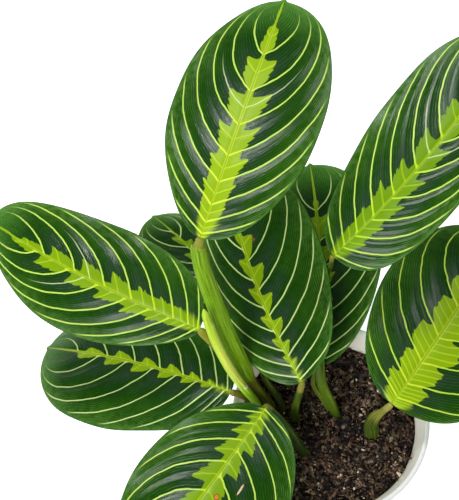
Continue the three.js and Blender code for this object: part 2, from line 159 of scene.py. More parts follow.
# Each stalk: the points of its centre line from the soil to the leaf, the half width there, and how deep it
# is for its width.
STALKS = {
    "top": dict(depth=0.7, width=(2.1, 2.3, 2.6, 3, 4.5, 4.5, 4.3, 3.9, 3.6, 3.4, 2, 1.9), through=(
        (-28, 8.5, 65), (-29, 8, 77), (-37.6, 12, 96), (-41.3, 14.5, 104), (-44.2, 16.6, 110.5),
        (-49.4, 22.8, 125), (-54.5, 29.5, 140), (-62.6, 42.5, 168), (-64.8, 48, 181), (-64.8, 49, 183.4),
        (-64.6, 49.5, 184.6), (-64.3, 50.3, 186.8))),
    "upper_left": dict(depth=0.9, width=(2, 2.2, 2.2, 2.2, 2.2, 2.1, 2.1), through=(
        (-34, 15.5, 65), (-35.5, 16, 77), (-38, 16.5, 88), (-44.5, 18.5, 99), (-51.5, 22, 110),
        (-59, 26.5, 122), (-64.4, 29.2, 130.8))),
    "lower_left": dict(depth=0.9, width=(2, 2.1, 1.9, 1.8, 1.7), through=(
        (-37, 10.5, 65), (-38, 10.5, 77), (-42, 9.6, 88), (-46.2, 9.2, 95.5), (-49.6, 8.6, 100.3))),
    "front": dict(depth=0.9, width=(2.3, 2.4, 2.3, 2.2, 2.1, 1.9), through=(
        (-11, -18.5, 65), (-12.5, -17.5, 77), (-16, -14.5, 84), (-21, -9.5, 92), (-27, -5, 101),
        (-32.8, -2, 110))),
    "centre": dict(depth=0.9, width=(2.1, 2.3, 2.1, 1.7, 1.6), through=(
        (-16.5, 2, 65), (-17, 2, 77), (-18, 3, 90), (-17.5, 4.5, 104), (-16.3, 8, 114.6))),
    "back_left": dict(depth=0.9, width=(1.7, 1.8, 1.7, 1.6, 1.6, 1.6), through=(
        (-22, 7, 65), (-23.5, 8, 77), (-28, 14, 83), (-33, 19.5, 89), (-37, 30, 97), (-40.4, 40.3, 103))),
    "back": dict(depth=0.9, width=(1, 1, 1, 1.1, 1.2, 1.3), through=(
        (4.2, 1.6, 65), (1.8, 3.9, 77), (-0.9, 6.8, 81), (-4, 10.4, 85), (-8.2, 16.3, 89.5),
        (-6.8, 23, 94.6))),
    "upper_right": dict(depth=0.8, width=(1.7, 1.8, 2.3, 2.6, 2.8, 2.4, 2, 1.6, 1.3, 1.2, 1.2), through=(
        (8.5, -1, 65), (5.1, 2.1, 77), (1.2, 6.3, 87), (-4.8, 15.2, 97), (-6.5, 31, 104),
        (-8.9, 48.4, 105.2), (-5.3, 58.9, 108), (-2.2, 66.1, 111), (-0.6, 68.2, 117.5), (-0.4, 66.6, 127),
        (-1.9, 62.5, 144))),
    "lower_right": dict(depth=0.9, width=(3.4, 3.8, 3.7, 3, 1.7, 1.6), through=(
        (22.3, -8.5, 65), (22, -6.3, 77), (21.2, -3.2, 84), (22, -1.6, 92), (24.4, -1, 100),
        (27, -0.1, 106.8))),
}
ROLLED_LEAF = dict(depth=0.9, width=(1.7, 1.9, 2, 2.2, 2.4, 2.35, 2.25, 1.5), through=(
    (-33, 4, 65), (-34, 4, 77), (-37.7, 6, 91), (-44.6, 9, 108), (-50.7, 12.5, 123), (-56.8, 19, 138),
    (-60.8, 25, 151), (-63, 28.5, 161.5)))

# ---------------------------------------------------------------- meshes


def piece(name, vertices, faces, materials, uv=None, slots=None, values=None):
    """A smooth-shaded mesh object. vertices are in millimetres, uv has one pair per vertex, slots one
    material index per face, and values names numbers kept one per vertex."""
    mesh = bpy.data.meshes.new(name)
    mesh.from_pydata((np.asarray(vertices) * MM).tolist(), [], faces)
    mesh.polygons.foreach_set("use_smooth", np.ones(len(mesh.polygons), bool))
    if uv is not None:
        corner = np.zeros(len(mesh.loops), np.int32)
        mesh.loops.foreach_get("vertex_index", corner)
        mesh.uv_layers.new(name="UVMap").data.foreach_set("uv", np.asarray(uv)[corner].ravel())
    for key, numbers in (values or {}).items():
        mesh.attributes.new(key, "FLOAT", "POINT").data.foreach_set("value", numbers)
    for material in materials:
        mesh.materials.append(material)
    if slots is not None:
        mesh.polygons.foreach_set("material_index", np.asarray(slots, np.int32))
    mesh.validate()
    made = bpy.data.objects.new(name, mesh)
    bpy.context.scene.collection.objects.link(made)
    return made


def numbered(shape, pinched=False):
    """Vertex numbers of a grid, row by row. Pinched, its first and its last row are one point each."""
    index = np.arange(math.prod(shape)).reshape(shape)
    if pinched:
        index[0], index[-1] = index[0, 0], index[-1, 0]
    return index


def grid_faces(index):
    """Quads between neighbouring rows and columns of an index grid, with repeated corners dropped."""
    corners = np.stack([index[:-1, :-1], index[:-1, 1:], index[1:, 1:], index[1:, :-1]], -1).reshape(-1, 4)
    return [list(dict.fromkeys(c)) for c in corners.tolist() if len(set(c)) > 2]


def unit(a):
    """Each vector divided by its length."""
    return a / np.linalg.norm(a, axis=-1, keepdims=True)


def spoke_end(angle):
    """The points of the unit circle at some angles."""
    return np.stack([np.cos(angle), np.sin(angle)], -1)


def ease(x, low, high):
    """0 below low, 1 above high and a smooth s-curve between."""
    t = np.clip((np.asarray(x, float) - low) / (high - low), 0, 1)
    return t * t * (3 - 2 * t)


def lattice_noise(x, y, seed):
    """Random heights (-1 to 1) at whole numbers, joined by smooth s-curves."""
    table = np.random.default_rng(seed).uniform(-1, 1, (64, 64))
    i, j = np.floor(x).astype(int), np.floor(y).astype(int)
    fx, fy = ease(x - i, 0, 1), ease(y - j, 0, 1)

    def at(a, b):
        return table[a % 64, b % 64]

    low = at(i, j) * (1 - fx) + at(i + 1, j) * fx
    high = at(i, j + 1) * (1 - fx) + at(i + 1, j + 1) * fx
    return low * (1 - fy) + high * fy


# ---------------------------------------------------------------- leaf blades


def half_width(t, fullness):
    """A round-ended oval, twice the root of s (1 - s), times a smooth (Bernstein) curve drawn by the five
    fullness values, with a short pointed nub at the tip."""
    s = np.clip(t / (1 - TIP_SHARE), 0, 1)
    full = sum(f * math.comb(4, i) * s**i * (1 - s) ** (4 - i) for i, f in enumerate(fullness))
    nub = np.where(t > 1 - 2 * TIP_SHARE, TIP_SLOPE * (1 - t), 0)
    return np.maximum(np.sqrt(4 * s * (1 - s)) * full, nub)


def vein_root(t, out):
    """Where on the midrib (0 base, 1 tip) the side vein through a point starts, from the point's share t of
    the length and its way out to the margin: t times one less (lean out + (0.8 - lean) out^2)(1.15 - 0.45 t).
    The lean is 0.3, and grows by up to 1.2 towards the base."""
    lean = 0.3 + 1.2 * math.e ** (t / -0.16)
    return t * (1 - (lean * out + (0.8 - lean) * out * out) * (1.15 - 0.45 * t))


def vein_count(leaf, t, v):
    """Side veins passed from the base: the root's share of the midrib to the power 1 / 1.8, times the number
    that fill it, plus that half's shift. Whole numbers lie on a vein."""
    number, left, right = leaf["veins"]
    return number * vein_root(t, np.abs(v)) ** (1 / VEIN_POWER) + np.where(v < 0, left, right)


def vein_gap(places, count):
    """Millimetres from one side vein to the next: one over the slope of the count on the surface, from the
    differences along the grid's rows and columns."""
    down, over = np.gradient(places, axis=0), np.gradient(places, axis=1)
    rise, run = np.gradient(count, axis=0), np.gradient(count, axis=1)
    dd, do, oo = (down * down).sum(-1), (down * over).sum(-1), (over * over).sum(-1)
    slope = (rise**2 * oo - 2 * rise * run * do + run**2 * dd) / np.maximum(dd * oo - do**2, 1e-9)
    gap = 1 / np.sqrt(np.maximum(slope, 1e-4))
    gap[0], gap[-1] = gap[1], gap[-2]
    return np.minimum(gap, WIDEST_GAP)


def blade_surface(leaf, t, v):
    """The upper face over t (0 base to 1 tip) and v (-1 left margin to 1 right margin).

    The midrib arches down and bends sideways as a parabola; each half falls away with the square of its
    reach; the margin ripples as a sine that grows with the cube of the way out; the blade is pleated from
    vein to vein as a cosine, with four finer pleats in each, and creased along the midrib as a bell curve."""
    az, pitch, roll = (math.radians(leaf[key]) for key in ("heading", "pitch", "roll"))
    along = np.array([math.cos(az) * math.cos(pitch), math.sin(az) * math.cos(pitch), math.sin(pitch)])
    level = np.array([math.sin(az), -math.cos(az), 0])
    face = np.cross(level, along)
    right = level * math.cos(roll) - face * math.sin(roll)
    up = face * math.cos(roll) + level * math.sin(roll)
    out = np.abs(v)
    k = vein_count(leaf, t, v)
    fall, turn, length = math.radians(leaf["arch"]), math.radians(leaf["bend"]), leaf["length"]
    step = t[..., None]
    middle = np.array(leaf["base"]) + length * (
        along * step - up * fall * step**2 / 2 + right * turn * step**2 / 2
    )
    tangent = unit(along - up * fall * step + right * turn * step)
    across = unit(right - tangent * (tangent @ right)[..., None])
    normal = np.cross(across, tangent)
    reach = v * np.where(v < 0, half_width(t, leaf["left"]), half_width(t, leaf["right"]))
    droop = -leaf["dome"] * reach**2 / (0.3 * length)
    phase = 2 * np.pi * (MARGIN_RIPPLES * t + leaf["wave"] + np.where(v < 0, MARGIN_SHIFT, 0))
    ripple = MARGIN_WAVE * out**3 * np.sin(np.pi * t) * np.sin(phase)
    room = np.sin(np.pi * out) * np.clip(3 * (1 - t), 0, 1)
    pleat = -PLEAT * np.cos(2 * np.pi * k) * room - FINE_PLEAT * np.cos(8 * np.pi * k) * room
    crease = -CREASE * np.exp(-((out / CREASE_WIDTH) ** 2)) * np.clip(6 * (1 - t), 0, 1)
    lift = (droop + ripple + pleat + crease)[..., None]
    return middle + across * reach[..., None] + normal * lift, normal


def blade(name, leaf, materials):
    """The blade as one closed skin: the upper face, and a lower face sunk by the thickness times the root of
    1 - out^8, which thins to nothing at the margin, plus a keel of triangular section under the midrib. The
    rows crowd a little towards base and tip, and the columns towards the margins."""
    step = np.linspace(0, 1, BLADE_ROWS)
    rows = 0.55 * step + 0.45 * (1 - np.cos(np.pi * step)) / 2
    half = 1 - (1 - np.linspace(0, 1, BLADE_COLUMNS)) ** 1.15
    columns = np.concatenate([-half[:0:-1], half])
    t, v = np.meshgrid(rows, columns, indexing="ij")
    top, normal = blade_surface(leaf, t, v)
    keel = KEEL_DEPTH * np.clip(1 - np.abs(v) / KEEL_WIDTH, 0, 1) * np.clip(6 * t, 0, 1) * np.sqrt(1 - t)
    bottom = top - normal * (BLADE_THICKNESS * np.sqrt(1 - np.abs(v) ** 8) + keel)[..., None]
    index = numbered(t.shape, pinched=True)
    rim = np.ones(t.shape, bool)
    rim[1:-1, 1:-1] = False
    under = np.where(rim, index, index + t.size)
    upper = grid_faces(index)
    lower = grid_faces(under[:, ::-1])
    uv = np.stack([t, (v + 1) / 2], -1).reshape(-1, 2)
    gap = vein_gap(top, vein_count(leaf, t, v)).ravel()
    return piece("blade_" + name, np.concatenate([top.reshape(-1, 3), bottom.reshape(-1, 3)]), upper + lower,
                 materials, np.concatenate([uv, uv]), [0] * len(upper) + [1] * len(lower),
                 {"vein_gap": np.concatenate([gap, gap])})


# ---------------------------------------------------------------- stalks


def smooth_path(points):
    """A Catmull-Rom curve: a cubic between each two points, its slope at a point half the way between that
    point's neighbours."""
    p = np.asarray(points, float)
    p = np.vstack([2 * p[0] - p[1], p, 2 * p[-1] - p[-2]])
    s = np.linspace(0, len(points) - 1, (len(points) - 1) * STALK_STEPS + 1)
    i = np.minimum(s.astype(int), len(points) - 2)
    f = (s - i)[:, None]
    a, b, c, d = p[i], p[i + 1], p[i + 2], p[i + 3]
    place = b + f * (c - a) / 2 + f**2 * (a - 2.5 * b + 2 * c - d / 2) + f**3 * (1.5 * (b - c) + (d - a) / 2)
    return place, s


def sweep(name, stalk, section, material, sides=STALK_SIDES):
    """An oval carried along the smooth path; section(angle, share of the length) scales its radius. The
    ends are closed by a point. UV holds the turn round it and the way along it in tenths of a metre."""
    place, s = smooth_path(stalk["through"])
    half = np.interp(s, np.arange(len(stalk["width"])), stalk["width"])
    along = unit(np.gradient(place, axis=0))
    side = unit(np.cross(along, (0, -0.44, 0.9)))
    front = np.cross(side, along)
    angle = np.linspace(0, 2 * np.pi, sides, endpoint=False)
    share = s / s[-1]
    scale = half[:, None] * section(angle[None], share[:, None])
    ring = (
        place[:, None]
        + side[:, None] * (scale * np.cos(angle))[..., None]
        + front[:, None] * (scale * stalk["depth"] * np.sin(angle))[..., None]
    )
    ring = np.concatenate([ring, ring[:, :1]], 1)
    ring = np.concatenate([np.broadcast_to(place[0], ring[:1].shape), ring,
                           np.broadcast_to(place[-1], ring[:1].shape)])
    travelled = np.concatenate([[0], np.cumsum(np.linalg.norm(np.diff(place, axis=0), axis=1))])
    travelled = np.concatenate([travelled[:1], travelled, travelled[-1:]])
    turn = np.linspace(0, 1, sides + 1)
    uv = np.stack(np.broadcast_arrays(turn[None], travelled[:, None] / 100), -1).reshape(-1, 2)
    index = numbered(ring.shape[:2], pinched=True)
    return piece(name, ring.reshape(-1, 3), grid_faces(index[:, ::-1]), [material], uv)


def ribbed(angle, share):
    """Fifteen fine cosine ribs all round, and as bell curves a shallow channel on the front and a slightly
    swollen joint just under the leaf."""
    ribs = 1 + 0.025 * np.cos(15 * angle) * (1 - ease(share, 0.86, 0.94))
    channel = 1 - 0.10 * np.exp(-(((angle - 1.57) / 0.35) ** 2)) * (1 - share)
    joint = 1 + 0.07 * np.exp(-(((share - 0.94) / 0.03) ** 2))
    return ribs * channel * joint


def rolled(angle, share):
    """A spiral: the radius grows evenly once round and steps back at the seam, where the outer edge overlaps.
    The outer layer ends at a notch on the right, near the top, which is rounded off by a root."""
    turn = np.mod(angle - 0.9 - 1.2 * share, 2 * np.pi) / (2 * np.pi)
    on_the_right = ease(np.cos(angle - 0.3), 0.2, 0.5)
    notch = 0.16 * ease(share, 0.852, 0.862) * on_the_right * (1 - ease(share, 0.93, 0.97))
    round_end = np.sqrt(np.clip((1 - share) / 0.05, 0.04, 1))
    return (0.88 + 0.2 * turn - 0.2 * ease(turn, 0.965, 1.0) - notch) * round_end


# ---------------------------------------------------------------- pot


def wall_radius(z):
    """The outer wall's radius, growing evenly from the base to the rim band."""
    return BASE_RADIUS + (RIM_RADIUS - RIM_STEP - BASE_RADIUS) * z / (POT_HEIGHT - RIM_BAND)


def inner_radius(z):
    """The inner wall's radius: a wall's thickness in from the outer one."""
    return min(wall_radius(z) - WALL, RIM_INNER_RADIUS)


def pot(material):
    """A turned wall with rounded corners, closed by a floor in six wedges. Each wedge is a sheet stretched
    between its drain hole's edge and the wedge's own outline, above and below, with the hole's wall
    between."""
    band = POT_HEIGHT - RIM_BAND
    outline = [
        (BASE_RADIUS - 1, 0), (BASE_RADIUS - 0.3, 0.3), (BASE_RADIUS, 1), (wall_radius(band / 3), band / 3),
        (wall_radius(2 * band / 3), 2 * band / 3), (wall_radius(band), band),
        (RIM_RADIUS - 0.9, band + 0.1), (RIM_RADIUS - 0.3, band + 0.3), (RIM_RADIUS, band + 0.9),
        (RIM_RADIUS, POT_HEIGHT - 1), (RIM_RADIUS - 0.3, POT_HEIGHT - 0.3), (RIM_RADIUS - 1, POT_HEIGHT),
        (RIM_INNER_RADIUS + 0.7, POT_HEIGHT), (RIM_INNER_RADIUS + 0.2, POT_HEIGHT - 0.2),
        (RIM_INNER_RADIUS, POT_HEIGHT - 0.8), (inner_radius(band), band),
        (inner_radius(band / 2), band / 2), (inner_radius(FLOOR + 2), FLOOR + 2),
        (inner_radius(FLOOR) - 0.6, FLOOR + 0.5), (inner_radius(FLOOR) - 2, FLOOR),
    ]
    turn = np.linspace(0, 2 * np.pi, POT_SIDES + 1)
    radius, height = np.array(outline).T
    wall = np.stack([radius[:, None] * np.cos(turn), radius[:, None] * np.sin(turn),
                     np.broadcast_to(height[:, None], (len(height), len(turn)))], -1)
    vertices, faces = [wall.reshape(-1, 3)], []
    index = numbered(wall.shape[:2])
    faces += grid_faces(index[::-1, ::-1])
    count = index.size
    arc_steps = POT_SIDES // DRAIN_COUNT
    spoke = np.linspace(0, 1, 13)[:-1]
    for i in range(DRAIN_COUNT):
        start, sector = 2 * np.pi * i / DRAIN_COUNT, 2 * np.pi / DRAIN_COUNT
        arc = start + sector * np.arange(arc_steps + 1) / arc_steps
        hub = DRAIN_CIRCLE * spoke_end(start + sector / 2)
        sheets = []
        for rim_radius, z in ((BASE_RADIUS - 1, 0.0), (inner_radius(FLOOR) - 2, FLOOR)):
            edge = rim_radius * spoke_end(arc)
            loop = np.concatenate([spoke[:, None] * edge[0], edge, spoke[::-1, None] * edge[-1]])
            direction = unit(loop - hub)
            share = np.linspace(0, 1, 7)[:, None, None]
            sheet = (hub + DRAIN_RADIUS * direction) * (1 - share) + loop * share
            sheets.append(np.concatenate([sheet, np.full(sheet.shape[:2] + (1,), z)], -1))
        hole = np.stack([sheets[1][0], sheets[0][0]])
        for sheet, flip in ((sheets[0], False), (sheets[1], True), (hole, False)):
            index = count + numbered(sheet.shape[:2])
            faces += grid_faces(index[:, ::-1] if flip else index)
            vertices.append(sheet.reshape(-1, 3))
            count += index.size
    joined, back = np.unique(np.round(np.concatenate(vertices), 4), axis=0, return_inverse=True)
    back = back.reshape(-1)
    faces = [list(dict.fromkeys(back[f].tolist())) for f in faces]
    made = piece("pot_shell", joined, [f for f in faces if len(f) > 2], [material])
    made.data.set_sharp_from_angle(angle=math.radians(50))
    return made


# ---------------------------------------------------------------- soil


def soil_height(x, y):
    """The soil sinks towards the back and is heaped in low lumps."""
    sink = 5 * ease(y, 5, 45)
    lumps = 0.9 * np.sin(x / 5.1 + 0.7) * np.cos(y / 4.3) + 0.6 * np.sin((x + 2 * y) / 6.7 + 2)
    return SOIL_LEVEL - sink + lumps


def rough_soil(x, y):
    """The soil's height with four layers of lattice noise, each finer and lower than the last."""
    height = soil_height(x, y)
    for i, (scale, size) in enumerate(((4.6, 1.1), (2.2, 0.9), (1.0, 0.55), (0.5, 0.3))):
        height = height + size * lattice_noise(x / scale + 7 * i, y / scale + 3 * i, 40 + i)
    return height


def soil(material):
    """A round sheet out to the pot's wall, then down the wall and across the floor."""
    rim = inner_radius(SOIL_LEVEL) - 0.15
    below = [inner_radius(FLOOR + 2) - 0.3, inner_radius(FLOOR) - 2.3, 0]
    radius = np.concatenate([np.linspace(0, 1, SOIL_RINGS) * rim, below])
    turn = np.linspace(0, 2 * np.pi, SOIL_SIDES + 1)
    r, a = np.meshgrid(radius, turn, indexing="ij")
    x, y = r * np.cos(a), r * np.sin(a)
    z = rough_soil(x, y)
    z[-3], z[-2], z[-1] = FLOOR + 2, FLOOR + 0.3, FLOOR + 0.3
    index = numbered(r.shape, pinched=True)
    index[:, -1] = index[:, 0]
    return piece("soil_bed", np.stack([x, y, z], -1).reshape(-1, 3), grid_faces(index), [material])


def lumps(name, count, size, stretch, seed, material, sink=0.35, reach=GRAIN_REACH):
    """Small angular grains: a coarse ball whose radius is random at each corner, stretched and turned at
    random, and strewn evenly over a disc of the soil, sunk in by a share of its size."""
    rng = np.random.default_rng(seed)
    lat, lon = np.meshgrid(np.linspace(0, np.pi, 5), np.linspace(0, 2 * np.pi, 7)[:-1], indexing="ij")
    ball = np.stack([np.sin(lat) * np.cos(lon), np.sin(lat) * np.sin(lon), np.cos(lat)], -1)
    index = numbered(lat.shape, pinched=True)
    index = np.concatenate([index, index[:, :1]], 1)
    shape = ball.reshape(-1, 3)
    faces = np.array([f + f[-1:] if len(f) == 3 else f for f in grid_faces(index)])
    radius = reach * np.sqrt(rng.random(count))
    turn = rng.random(count) * 2 * np.pi
    x, y = radius * np.cos(turn), radius * np.sin(turn)
    grain = size[0] + (size[1] - size[0]) * rng.random(count) ** 2.5
    axes = rng.normal(size=(count, 3, 3))
    axes, _ = np.linalg.qr(axes)
    axes *= np.sign(np.linalg.det(axes))[:, None, None]
    body = shape[None] * (1 + 0.36 * rng.uniform(-1, 1, (count, len(shape), 1)))
    body = body * (grain[:, None] * np.array(stretch))[:, None]
    place = np.stack([x, y, rough_soil(x, y) + grain * (0.5 - sink)], -1)
    points = body @ axes.transpose(0, 2, 1) + place[:, None]
    every = (faces[None] + (np.arange(count) * len(shape))[:, None, None]).reshape(-1, 4).tolist()
    made = piece(name, points.reshape(-1, 3), [list(dict.fromkeys(f)) for f in every], [material])
    made.data.polygons.foreach_set("use_smooth", np.zeros(len(every), bool))
    return made


def fibres(name, count, seed, material):
    """Thin root hairs: short arcs, whose heading turns evenly along them, bowed up off the soil as a half
    sine and round in section, thinning towards the end."""
    rng = np.random.default_rng(seed)
    along = np.linspace(0, 1, 9)
    angle = np.linspace(0, 2 * np.pi, 6)[:-1]
    radius, turn = FIBRE_REACH * np.sqrt(rng.random(count)), rng.random(count) * 2 * np.pi
    heading, length = rng.random(count) * 2 * np.pi, rng.uniform(4, 12, count)
    curl = rng.uniform(-2, 2, count)
    way = heading[:, None] + curl[:, None] * (along - 0.5)
    run = np.cumsum(spoke_end(way), 1) * (length / len(along))[:, None, None]
    line = run + (radius[:, None] * spoke_end(turn))[:, None]
    over = np.linalg.norm(line, axis=-1, keepdims=True)
    line = line * np.minimum(1, FIBRE_END / over)
    z = rough_soil(line[..., 0], line[..., 1]) + 0.45 + 0.8 * np.sin(np.pi * along)
    middle = np.concatenate([line, z[..., None]], -1)
    thick = FIBRE_WIDTH * (1 - 0.6 * along)[None, :, None, None]
    beside = np.stack([-np.sin(way), np.cos(way), np.zeros_like(way)], -1)[:, :, None]
    above = np.array([0, 0, 1.0])
    ring = middle[:, :, None] + thick * (beside * np.cos(angle)[:, None] + above * np.sin(angle)[:, None])
    sheet = numbered((len(along), len(angle)))
    sheet = np.concatenate([sheet, sheet[:, :1]], 1)
    local = grid_faces(sheet) + [sheet[0, :-1][::-1].tolist(), sheet[-1, :-1].tolist()]
    size = len(along) * len(angle)
    faces = [[c + i * size for c in f] for i in range(count) for f in local]
    return piece(name, ring.reshape(-1, 3), faces, [material])


# ---------------------------------------------------------------- finishes


class Wire:
    """A value that varies over a surface; arithmetic on it adds Math nodes."""

    def __init__(self, finish, socket):
        self.finish, self.socket = finish, socket

    def _do(self, operation, *values):
        made = self.finish.node("ShaderNodeMath", dict(operation=operation), dict(enumerate(values)))
        return Wire(self.finish, made.outputs[0])

    def __add__(self, other): return self._do("ADD", self, other)
    def __radd__(self, other): return self._do("ADD", other, self)
    def __sub__(self, other): return self._do("SUBTRACT", self, other)
    def __rsub__(self, other): return self._do("SUBTRACT", other, self)
    def __mul__(self, other): return self._do("MULTIPLY", self, other)
    def __rmul__(self, other): return self._do("MULTIPLY", other, self)
    def __truediv__(self, other): return self._do("DIVIDE", self, other)
    def __pow__(self, other): return self._do("POWER", self, other)
    def __rpow__(self, other): return self._do("POWER", other, self)
    def __abs__(self): return self._do("ABSOLUTE", self)
    def part(self): return self._do("FRACT", self)
    def whole(self): return self._do("FLOOR", self)
    def above(self, other): return self._do("GREATER_THAN", self, other)
    def most(self, other): return self._do("MAXIMUM", self, other)

    def ramp(self, low, high, start=0.0, end=1.0):
        """A smooth step from start at low to end at high."""
        made = self.finish.node("ShaderNodeMapRange", dict(interpolation_type="SMOOTHSTEP"), {
            "Value": self, "From Min": low, "From Max": high, "To Min": start, "To Max": end})
        return Wire(self.finish, made.outputs[0])

    def profile(self, stops):
        """The value looked up in a list of (position, height) stops joined by straight lines."""
        greys = [(position, (height, height, height, 1)) for position, height in stops]
        made = self.finish.node("ShaderNodeValToRGB", dict(stops=greys), {0: self})
        return Wire(self.finish, made.outputs[0])


class Finish:
    """One material and the nodes it is built from."""

    def __init__(self, name, **constants):
        self.material = bpy.data.materials.new(name)
        self.material.use_nodes = True
        self.tree = self.material.node_tree
        self.shader = self.tree.nodes["Principled BSDF"]
        for socket, value in constants.items():
            self.shader.inputs[socket.replace("_", " ")].default_value = value

    def node(self, kind, settings, inputs):
        """A node of one type with its settings made first, then its sockets' values or links."""
        made = self.tree.nodes.new(kind)
        for key, value in settings.items():
            if key == "stops":
                ramp = made.color_ramp
                for i, (position, colour) in enumerate(value):
                    stop = ramp.elements[i] if i < 2 else ramp.elements.new(position)
                    stop.position, stop.color = position, colour
            else:
                setattr(made, key, value)
        for key, value in inputs.items():
            self.put(made.inputs[key], value)
        return made

    def put(self, socket, value):
        """Links a wire or sets a plain value."""
        if isinstance(value, Wire):
            self.tree.links.new(value.socket, socket)
        else:
            socket.default_value = value

    def uv(self):
        """The two directions of the piece's own UV map."""
        source = self.node("ShaderNodeUVMap", dict(uv_map="UVMap"), {})
        parts = self.node("ShaderNodeSeparateXYZ", {}, {0: Wire(self, source.outputs[0])})
        return Wire(self, parts.outputs[0]), Wire(self, parts.outputs[1])

    def place(self):
        """The point's place on the object, in metres."""
        return Wire(self, self.node("ShaderNodeTexCoord", {}, {}).outputs["Object"])

    def vector(self, x, y, z=0.0):
        """A vector from wires or plain numbers."""
        return Wire(self, self.node("ShaderNodeCombineXYZ", {}, {0: x, 1: y, 2: z}).outputs[0])

    def noise(self, where, scale, detail=2.0, rough=0.5):
        """Cloudy noise from 0 to 1."""
        made = self.node("ShaderNodeTexNoise", {}, dict(
            Vector=where, Scale=scale, Detail=detail, Roughness=rough))
        return Wire(self, made.outputs[0])

    def cells(self, where, scale):
        """Distance to the nearest of a scatter of points."""
        made = self.node("ShaderNodeTexVoronoi", {}, dict(Vector=where, Scale=scale))
        return Wire(self, made.outputs[0])

    def dice(self, where):
        """A random number from 0 to 1 that stays the same while the place does."""
        made = self.node("ShaderNodeTexWhiteNoise", dict(noise_dimensions="3D"), dict(Vector=where))
        return Wire(self, made.outputs["Value"])

    def kept(self, name):
        """A number kept at the mesh's vertices."""
        made = self.node("ShaderNodeAttribute", dict(attribute_name=name), {})
        return Wire(self, made.outputs["Fac"])

    def blend(self, a, b, share):
        """Colour a turned to colour b by a share that varies. Each is a wire, a tuple or a screen colour."""
        a, b = (hue(colour) if isinstance(colour, str) else colour for colour in (a, b))
        made = self.node("ShaderNodeMix", dict(data_type="RGBA"), {0: share, 6: a, 7: b})
        return Wire(self, made.outputs[2])

    def wear(self, colour, roughness, height=None, depth=0.0, strength=0.5):
        """Connects the shader: colour, roughness and a bump of the given depth in metres."""
        self.put(self.shader.inputs["Base Color"], colour)
        self.put(self.shader.inputs["Roughness"], roughness)
        if height is not None:
            bump = self.node("ShaderNodeBump", {}, dict(Height=height, Distance=depth, Strength=strength))
            self.tree.links.new(bump.outputs[0], self.shader.inputs["Normal"])
        return self.material


def hue(code):
    """A screen colour such as 9cc800 as the linear colour that shaders use."""
    channels = [int(code[i:i + 2], 16) / 255 for i in (0, 2, 4)]
    return tuple(c / 12.92 if c <= 0.04045 else ((c + 0.055) / 1.055) ** 2.4 for c in channels) + (1.0,)


def between(low, high, share):
    """The colour a fixed share of the way from one screen colour to another."""
    return tuple(a + (b - a) * share for a, b in zip(hue(low), hue(high)))


def leaf_pattern(finish, leaf):
    """The leaf's map: how much each spot belongs to the side veins, the finer lines, the lime band, the
    midrib and the slate between the veins.

    The vein count comes from the share of the length and the way out kept in the UV map, by the formulas of
    vein_root and vein_count, and wanders a little. Its fraction is the way across a lobe and its whole part
    the lobe's number, which draws that lobe's own height and lean. The millimetres between veins, kept on the
    mesh, turn the fraction into a distance."""
    number, left, right = leaf["veins"]
    form, lines = leaf["band"], leaf["band"]["veinlets"]
    t, y = finish.uv()
    reach = y * 2 - 1
    out = abs(reach)
    side = reach.above(0)
    gap = finish.kept("vein_gap")
    seat = finish.vector(t * 24 + leaf["wave"] * 40, reach * 7)
    wander = (finish.noise(seat, 0.5) - 0.5) * 0.14
    k = number * vein_root(t, out).most(0) ** (1 / VEIN_POWER) + left + (right - left) * side + wander

    # Side veins: whole counts, finer outwards and towards the tip, ending short of the base, margin and tip.
    nearest = abs((k + 0.5).part() - 0.5) * gap
    last = [round(number + shift - 1.53) + 0.5 for shift in (left, right)]
    ends = (k - 0.6).ramp(0, 0.15) * (last[0] + (last[1] - last[0]) * side - k).ramp(0, 0.15)
    breadth = form["breadth"] * (1 - 0.3 * out) * t.ramp(0.80, 0.97, 1.0, 0.5)
    inside = (0.975 - out).ramp(0, 0.07) * t.ramp(0.975, 0.86)
    vein = (1 - (nearest / breadth).ramp(0.5, 1.1)) * inside * ends

    # The band: a lobe from each vein to the next, or its least width, with finely toothed edges.
    luck = finish.dice(finish.vector(k.whole(), side * 3 + 1, leaf["wave"] * 10))
    across = k.part() + (luck - 0.5) * 0.07
    toothing = finish.noise(finish.vector(k * 6, side * 5 + leaf["wave"] * 9), 1.0, 3.0)
    teeth = 1 + (toothing - 0.5) * 0.5
    lobes = across.profile(form["lobe"]) * ((k / 10).profile(form["height"]) * (0.88 + 0.24 * luck) * teeth)
    least = (k / 10).profile(form["least"]) * leaf.get("fill", 1.0) * teeth
    edge = lobes.most(least) * leaf["spread"]
    band = ((edge - out) / t.ramp(0.0, form["soft"], 0.17, 0.009)).ramp(-1, 1)

    # Finer lines: those within a lobe, one stray pale line, and eight faint ones from vein to vein.
    veinlet = 1 - (abs((k * lines + 0.5).part() - 0.5) / lines * gap).ramp(0.1, 0.55)
    stray = (1 - (abs(k - 6.5) * gap).ramp(0.1, 0.4)) * (0.62 - out).ramp(0, 0.25) * form["stray"]
    fine = abs((k * 8 + 0.5).part() - 0.5) / 8 * gap
    faint = (1 - fine.ramp(0.04, 0.26)) * finish.noise(seat, 1.7).ramp(0.2, 0.75)
    groove = 1 - out.ramp(0.004, 0.011)
    midrib = 1 - out.ramp(0.016, 0.030)
    beside = (out - edge).ramp(0.4, 0.02) * (nearest / gap).ramp(0.05, 0.3) * t.ramp(0.9, 0.6)
    return dict(out=out, vein=vein, faint=faint, band=band, veinlet=veinlet, stray=stray, groove=groove,
                midrib=midrib, beside=beside, t=t, reach=reach, seat=seat)


